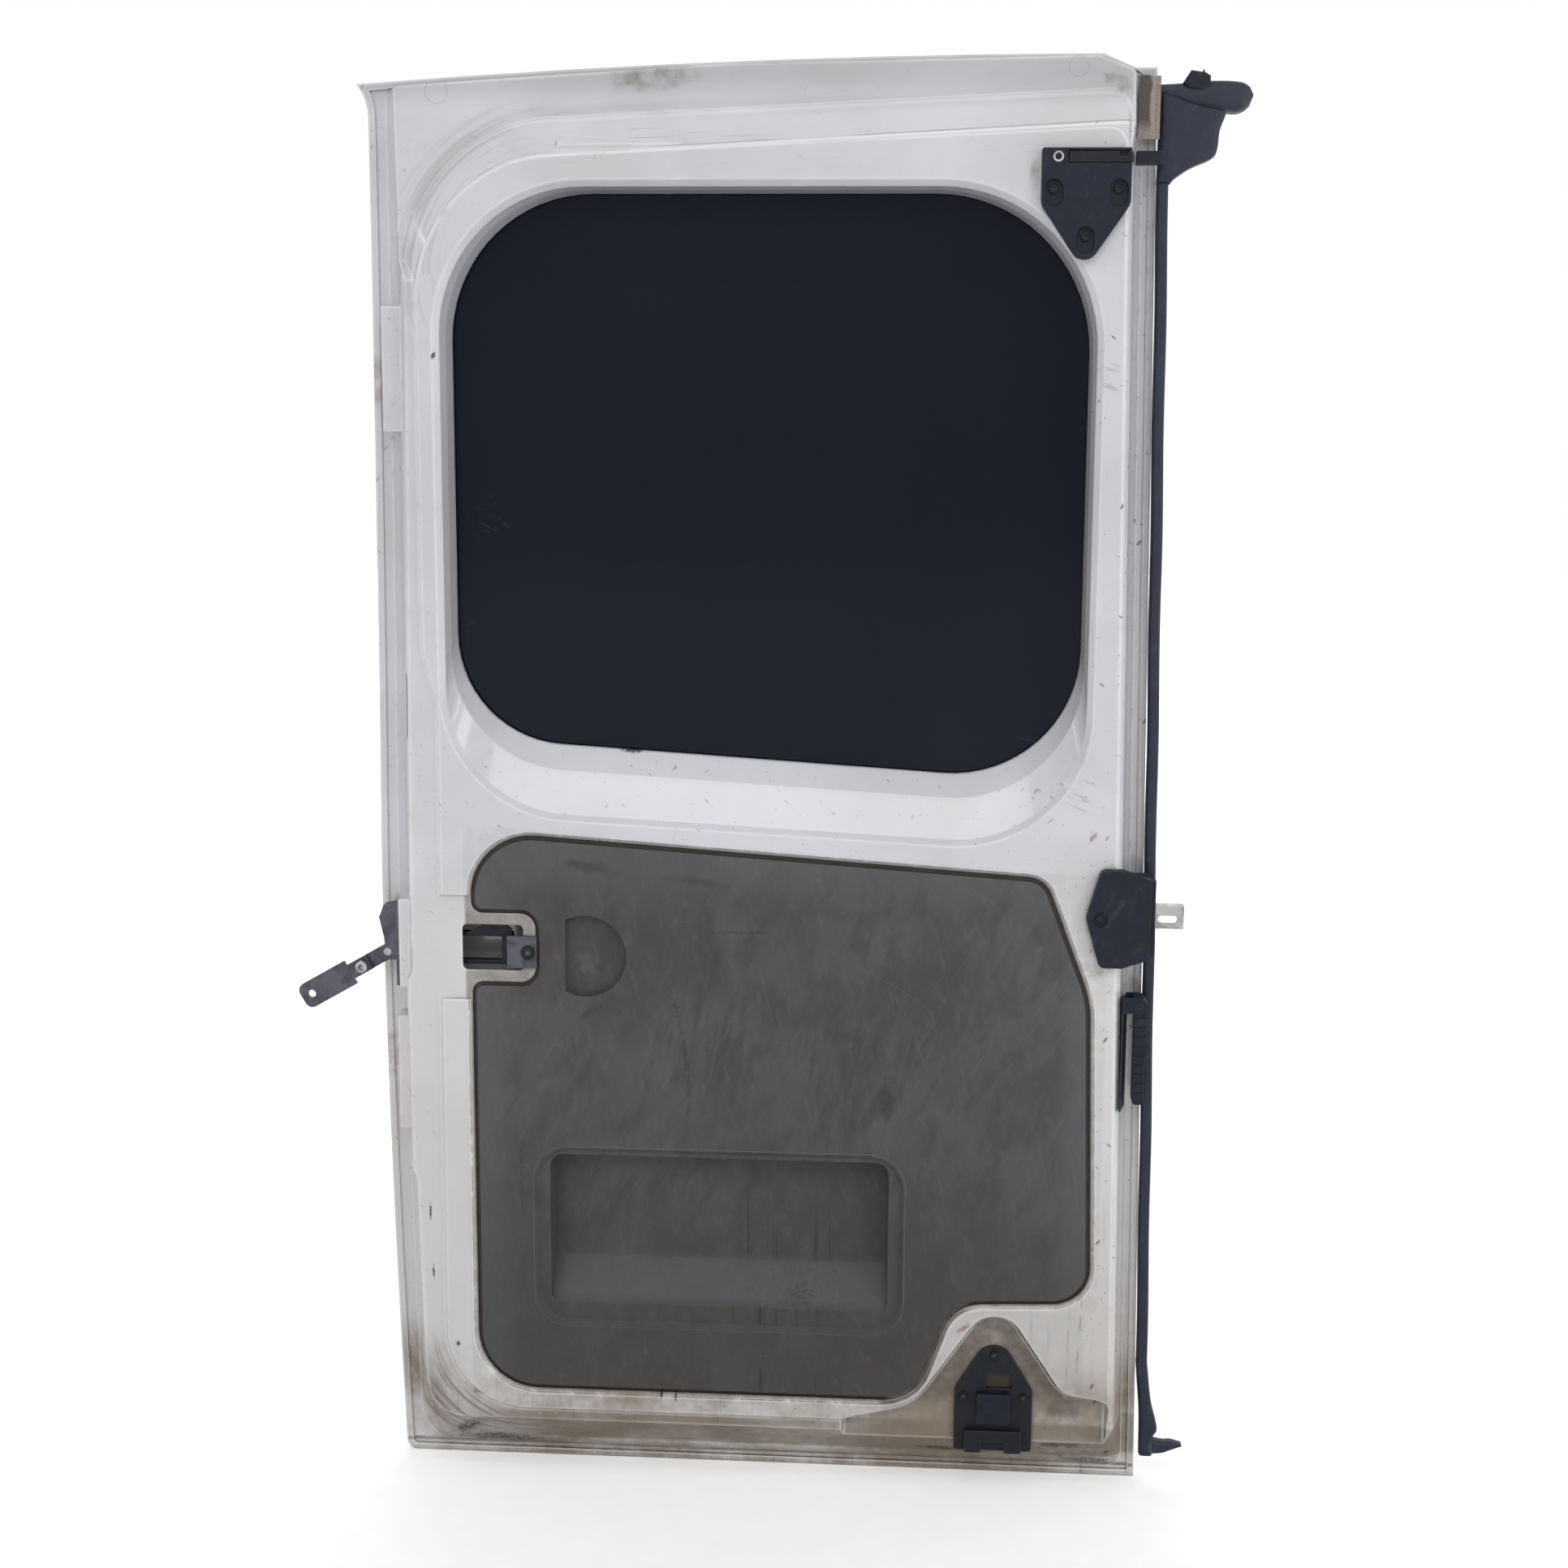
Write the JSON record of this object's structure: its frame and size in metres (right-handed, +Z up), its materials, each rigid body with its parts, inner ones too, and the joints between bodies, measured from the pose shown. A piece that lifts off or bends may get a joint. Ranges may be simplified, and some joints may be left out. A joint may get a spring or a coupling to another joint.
{
  "type": "van rear barn door",
  "caption": "Left-hand rear barn door of a small van, cabin side: pressed steel shell with bonded window, trim panel with pocket, latches, striker, seal and check arm.",
  "frame": {"origin": "on the face of the lower hinge pad, at mid depth of the door and the middle height of the pad", "axes": "+X from the hinge edge to the free edge, +Y from the cabin to the outside, +Z up"},
  "size_m": [0.9309, 0.07, 1.436],
  "materials": {
    "white_paint": "gloss, soiled",
    "tinted_glass": "gloss",
    "sealant": "matt",
    "trim_plastic": "grained, scuffed",
    "black_plastic": "satin",
    "dark_steel": "worn black",
    "zinc_steel": "dull zinc",
    "arm_steel": "dull",
    "seal_rubber": "matt, dusty",
    "beige_foam": "matt"
  },
  "bodies": {
    "door": {"inner_panel": "white_paint", "outer_skin": "white_paint", "window_glass": "tinted_glass", "glass_bead": "sealant", "trim_panel": "trim_plastic", "trim_pocket": "trim_plastic", "trim_thumb_dish": "trim_plastic", "upper_latch_plate": "black_plastic", "upper_latch_bolts": "dark_steel", "upper_latch_bar": "dark_steel", "upper_latch_bush": "zinc_steel", "upper_latch_arm": "black_plastic", "lower_latch_plate": "dark_steel", "lower_latch_bolts": "dark_steel", "lower_latch_box": "black_plastic", "lower_latch_claw": "dark_steel", "striker_cover": "black_plastic", "striker_cover_screw": "dark_steel", "striker_plate": "dark_steel", "striker_tongue": "zinc_steel", "lever_base": "black_plastic", "lever_pin": "dark_steel", "edge_seal": "seal_rubber", "seal_top_cap": "seal_rubber", "seal_top_clip": "black_plastic", "seal_bottom_cap": "seal_rubber", "corner_strip": "beige_foam", "check_bracket": "arm_steel", "check_pin": "zinc_steel", "check_catch": "arm_steel", "check_catch_bolt": "zinc_steel", "check_strap": "dark_steel", "check_hook": "dark_steel"},
    "lever": {"release_lever": "black_plastic"},
    "arm": {"check_link": "arm_steel", "check_arm": "arm_steel", "check_bush": "zinc_steel"}
  },
  "joints": [
    {"name": "lever_pull", "type": "hinge", "parent": "door", "child": "lever", "pos_m": [0.7515, -0.01, 0.092], "axis": [0, -1, 0], "range_deg": [0, 40], "stiffness_Nm_per_rad": 0.4, "springref_deg": -5.73},
    {"name": "check_swing", "type": "hinge", "parent": "door", "child": "arm", "pos_m": [-0.009, -0.004, 0.127], "axis": [0, 1, 0], "range_deg": [-20, 40]}
  ]
}
